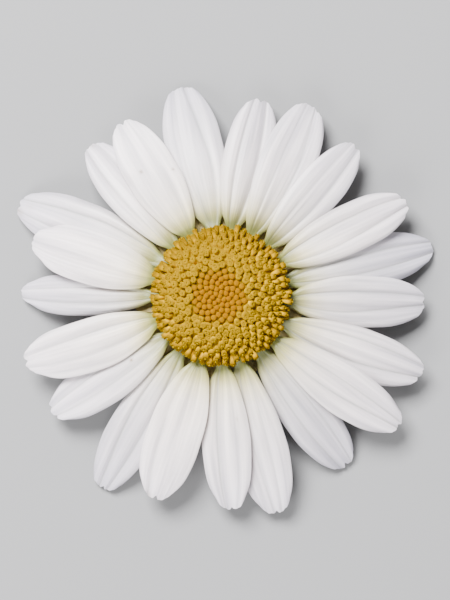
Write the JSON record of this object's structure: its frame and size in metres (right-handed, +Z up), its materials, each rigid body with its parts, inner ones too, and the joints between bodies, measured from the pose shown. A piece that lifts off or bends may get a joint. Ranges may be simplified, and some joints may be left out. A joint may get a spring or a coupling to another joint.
{
  "type": "daisy flower head",
  "caption": "Ox-eye daisy flower head, face up on its short cut stem: white notched ray petals round a domed yellow disc, over a green cup of bracts.",
  "frame": {"origin": "middle of the whole flower's outline, on the surface that the cut stem rests on", "axes": "+Z up out of the flower's face, +Y to the top of the picture, +X to its right"},
  "size_m": [0.0502, 0.0514, 0.0099],
  "materials": {
    "petal": "matte white petal",
    "disc": "matte golden florets",
    "bract": "matte green with brown edges"
  },
  "bodies": {
    "root": {"involucre": "bract", "disc_florets": "disc", "ray_petal_01": "petal", "ray_petal_02": "petal", "ray_petal_03": "petal", "ray_petal_04": "petal", "ray_petal_05": "petal", "ray_petal_06": "petal", "ray_petal_07": "petal", "ray_petal_08": "petal", "ray_petal_09": "petal", "ray_petal_10": "petal", "ray_petal_11": "petal", "ray_petal_12": "petal", "ray_petal_13": "petal", "ray_petal_14": "petal", "ray_petal_15": "petal", "ray_petal_16": "petal", "ray_petal_17": "petal", "ray_petal_18": "petal", "ray_petal_19": "petal", "ray_petal_20": "petal", "ray_petal_21": "petal"}
  },
  "joints": []
}
